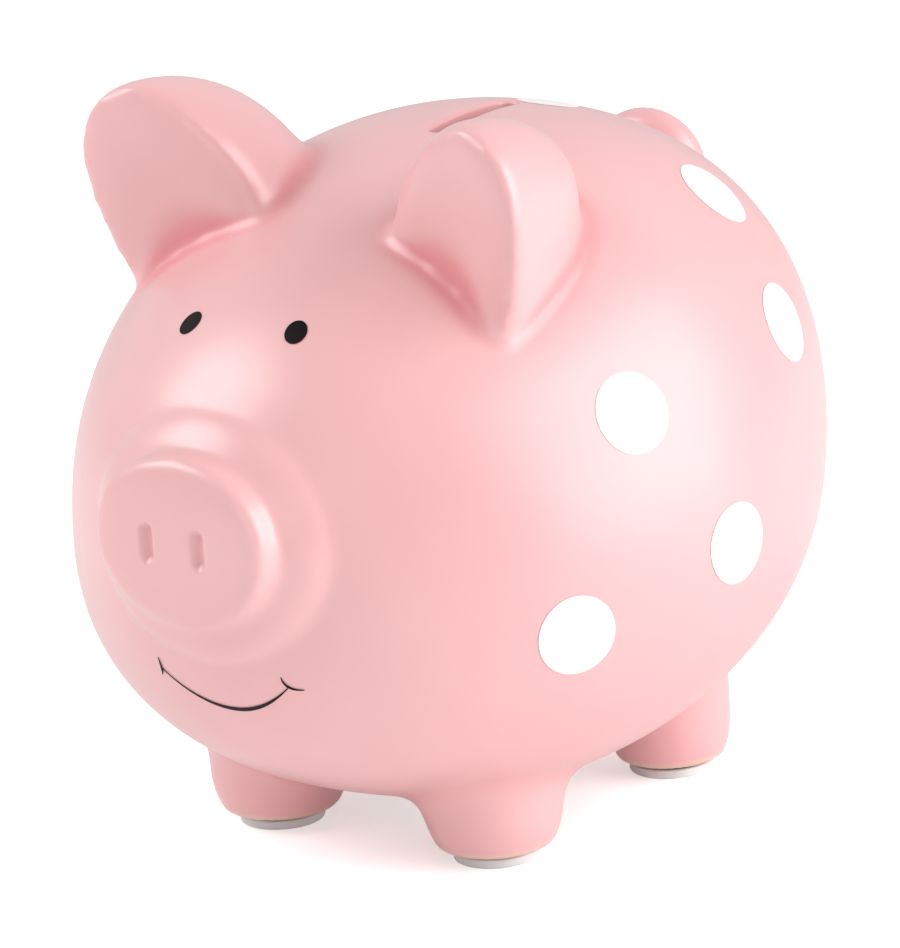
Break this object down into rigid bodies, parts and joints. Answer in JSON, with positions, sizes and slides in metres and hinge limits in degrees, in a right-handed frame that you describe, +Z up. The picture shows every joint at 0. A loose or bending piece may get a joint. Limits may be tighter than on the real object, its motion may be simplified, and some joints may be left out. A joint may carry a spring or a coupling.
{
  "type": "piggy bank",
  "caption": "Round ceramic pig money bank with a coin slot in its back, rubber belly stopper, rolled tail, short legs on stick-on pads, and white transfer dots.",
  "frame": {"origin": "on the surface it stands on, under the middle of the whole pig", "axes": "+Z up, -Y towards the snout, +X towards the pig's left side"},
  "size_m": [0.159, 0.188, 0.1671],
  "materials": {
    "pink_glaze": "satin pale pink glaze",
    "white_transfer": "fired white transfer, satin",
    "black_transfer": "fired black transfer, glossy",
    "stopper_rubber": "soft matt rubber",
    "pad_rubber": "milky clear rubber",
    "adhesive_film": "thin adhesive film"
  },
  "bodies": {
    "bank": {"ceramic_body": "pink_glaze", "tail_curl": "pink_glaze", "foot_pad_front_left": "pad_rubber", "foot_pad_front_right": "pad_rubber", "foot_pad_rear_left": "pad_rubber", "foot_pad_rear_right": "pad_rubber", "pad_adhesive_front_left": "adhesive_film", "pad_adhesive_front_right": "adhesive_film", "pad_adhesive_rear_left": "adhesive_film", "pad_adhesive_rear_right": "adhesive_film", "eye_left": "black_transfer", "eye_right": "black_transfer", "smile_line": "black_transfer", "dot_left_1": "white_transfer", "dot_left_2": "white_transfer", "dot_left_3": "white_transfer", "dot_left_4": "white_transfer", "dot_left_5": "white_transfer", "dot_crown": "white_transfer", "dot_right_1": "white_transfer", "dot_right_2": "white_transfer", "dot_right_3": "white_transfer", "dot_right_4": "white_transfer", "dot_right_5": "white_transfer", "dot_rump_1": "white_transfer", "dot_rump_2": "white_transfer", "dot_rump_3": "white_transfer", "dot_rump_4": "white_transfer"},
    "stopper": {"belly_stopper": "stopper_rubber"}
  },
  "joints": [
    {"name": "stopper_pull", "type": "slide", "parent": "bank", "child": "stopper", "axis": [0, 0, -1], "range_m": [0, 0.024]}
  ]
}
